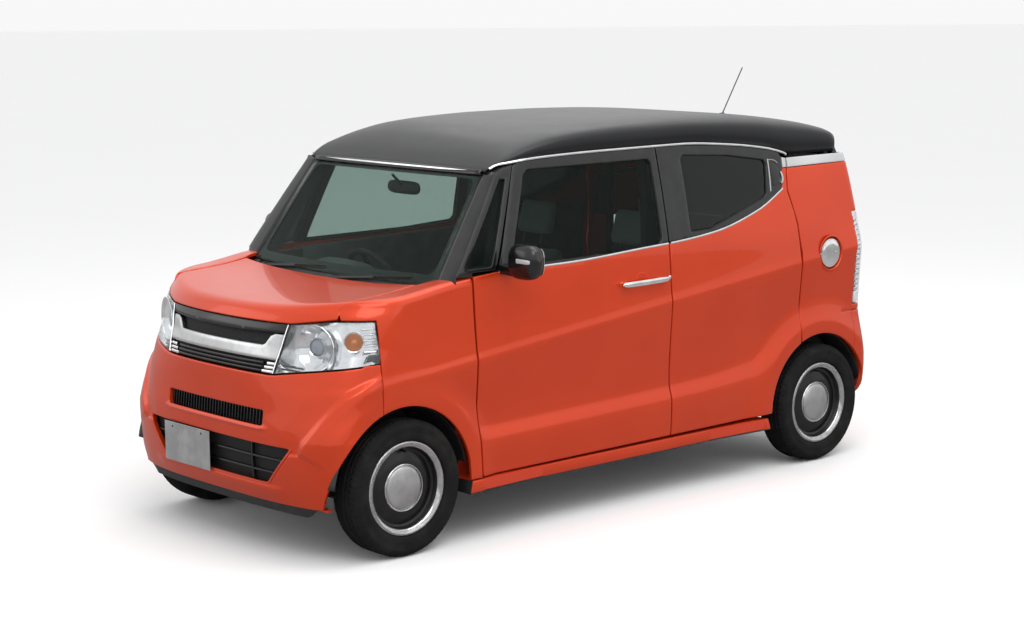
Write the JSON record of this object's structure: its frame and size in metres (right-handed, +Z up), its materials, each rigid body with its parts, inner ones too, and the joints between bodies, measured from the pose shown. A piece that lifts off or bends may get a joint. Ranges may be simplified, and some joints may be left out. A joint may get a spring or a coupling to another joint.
{
  "type": "kei car",
  "caption": "Small boxy five-door kei car with a black roof, opening doors, hood and tailgate, steered front wheels.",
  "frame": {"origin": "on the floor below the middle of the body's length and width", "axes": "+Z up, the car's front faces -Y, its left side is +X"},
  "size_m": [1.87, 3.395, 1.8391],
  "materials": {
    "body_paint": "gloss orange-red metallic paint",
    "roof_paint": "gloss black paint",
    "clear_glass": "lightly tinted",
    "dark_glass": "privacy tint",
    "lamp": "clear lens over chrome",
    "trim": "black grained plastic",
    "gloss_trim": "piano black",
    "plate": "blank grey plate",
    "chrome": "polished",
    "tyre": "black rubber",
    "rim": "black steel wheel with bright trims",
    "steel": "black chassis paint",
    "raw_steel": "exhaust steel",
    "fabric": "dark grey woven seat cloth"
  },
  "bodies": {
    "body": {"body_shell": "body_paint", "hinges": "steel", "roof_panel": "roof_paint", "front_fenders": "body_paint", "quarter_panels": "body_paint", "front_bumper": "body_paint", "rear_bumper": "body_paint", "cowl_and_wipers": "trim", "fixed_glass": "clear_glass", "headlamps": "lamp", "tail_lamps": "lamp", "grilles": "gloss_trim", "front_plate": "plate", "antenna": "trim", "front_subframe": "steel", "rear_axle": "steel", "engine": "steel", "exhaust": "raw_steel", "fuel_tank": "trim", "front_seats": "fabric", "rear_bench": "fabric", "dashboard": "trim"},
    "hood": {"hood": "body_paint"},
    "tailgate": {"tailgate": "body_paint", "tailgate_glass": "dark_glass", "rear_plate": "plate"},
    "left_front_door": {"left_front_door": "body_paint", "left_front_glass": "clear_glass", "left_mirror": "gloss_trim"},
    "right_front_door": {"right_front_door": "body_paint", "right_front_glass": "clear_glass", "right_mirror": "gloss_trim"},
    "left_rear_door": {"left_rear_door": "body_paint", "left_rear_glass": "dark_glass"},
    "right_rear_door": {"right_rear_door": "body_paint", "right_rear_glass": "dark_glass"},
    "fuel_lid": {"fuel_lid": "chrome"},
    "steering_wheel": {"steering_wheel": "trim"},
    "left_knuckle": {"left_knuckle": "steel"},
    "right_knuckle": {"right_knuckle": "steel"},
    "left_front_wheel": {"left_front_tyre": "tyre", "left_front_rim": "rim"},
    "left_rear_wheel": {"left_rear_tyre": "tyre", "left_rear_rim": "rim"},
    "right_front_wheel": {"right_front_tyre": "tyre", "right_front_rim": "rim"},
    "right_rear_wheel": {"right_rear_tyre": "tyre", "right_rear_rim": "rim"}
  },
  "joints": [
    {"name": "steer_left", "type": "hinge", "parent": "body", "child": "left_knuckle", "pos_m": [0.6, -1.25, 0.2785], "axis": [0, 0, 1], "range_deg": [-36, 36]},
    {"name": "steer_right", "type": "hinge", "parent": "body", "child": "right_knuckle", "pos_m": [-0.6, -1.25, 0.2785], "axis": [0, 0, 1], "range_deg": [-36, 36]},
    {"name": "steering_wheel_turn", "type": "hinge", "parent": "body", "child": "steering_wheel", "pos_m": [-0.33, -0.56, 0.93], "axis": [0, 0.8829, 0.4695], "range_deg": [-576, 576]},
    {"name": "left_front_wheel_spin", "type": "hinge", "parent": "left_knuckle", "child": "left_front_wheel", "pos_m": [0.6525, -1.25, 0.2785], "axis": [1, 0, 0], "continuous": true},
    {"name": "right_front_wheel_spin", "type": "hinge", "parent": "right_knuckle", "child": "right_front_wheel", "pos_m": [-0.6525, -1.25, 0.2785], "axis": [1, 0, 0], "continuous": true},
    {"name": "left_rear_wheel_spin", "type": "hinge", "parent": "body", "child": "left_rear_wheel", "pos_m": [0.6525, 1.27, 0.2785], "axis": [1, 0, 0], "continuous": true},
    {"name": "right_rear_wheel_spin", "type": "hinge", "parent": "body", "child": "right_rear_wheel", "pos_m": [-0.6525, 1.27, 0.2785], "axis": [1, 0, 0], "continuous": true},
    {"name": "left_front_door_hinge", "type": "hinge", "parent": "body", "child": "left_front_door", "pos_m": [0.709, -0.79, 0.6], "axis": [0, 0, -1], "range_deg": [0, 70]},
    {"name": "right_front_door_hinge", "type": "hinge", "parent": "body", "child": "right_front_door", "pos_m": [-0.709, -0.79, 0.6], "axis": [0, 0, 1], "range_deg": [0, 70]},
    {"name": "left_rear_door_hinge", "type": "hinge", "parent": "body", "child": "left_rear_door", "pos_m": [0.709, 0.35, 0.6], "axis": [0, 0, -1], "range_deg": [0, 75]},
    {"name": "right_rear_door_hinge", "type": "hinge", "parent": "body", "child": "right_rear_door", "pos_m": [-0.709, 0.35, 0.6], "axis": [0, 0, 1], "range_deg": [0, 75]},
    {"name": "hood_hinge", "type": "hinge", "parent": "body", "child": "hood", "pos_m": [0, -1.04, 1.05], "axis": [-1, 0, 0], "range_deg": [0, 50]},
    {"name": "tailgate_hinge", "type": "hinge", "parent": "body", "child": "tailgate", "pos_m": [0, 1.496, 1.524], "axis": [1, 0, 0], "range_deg": [0, 85]},
    {"name": "fuel_lid_hinge", "type": "hinge", "parent": "body", "child": "fuel_lid", "pos_m": [0.7277, 1.2545, 0.992], "axis": [0, 0, -1], "range_deg": [0, 85]}
  ],
  "couplings": [
    {"joint": "steer_right", "follows": "steer_left", "ratio": 1},
    {"joint": "steering_wheel_turn", "follows": "steer_left", "ratio": 16}
  ]
}
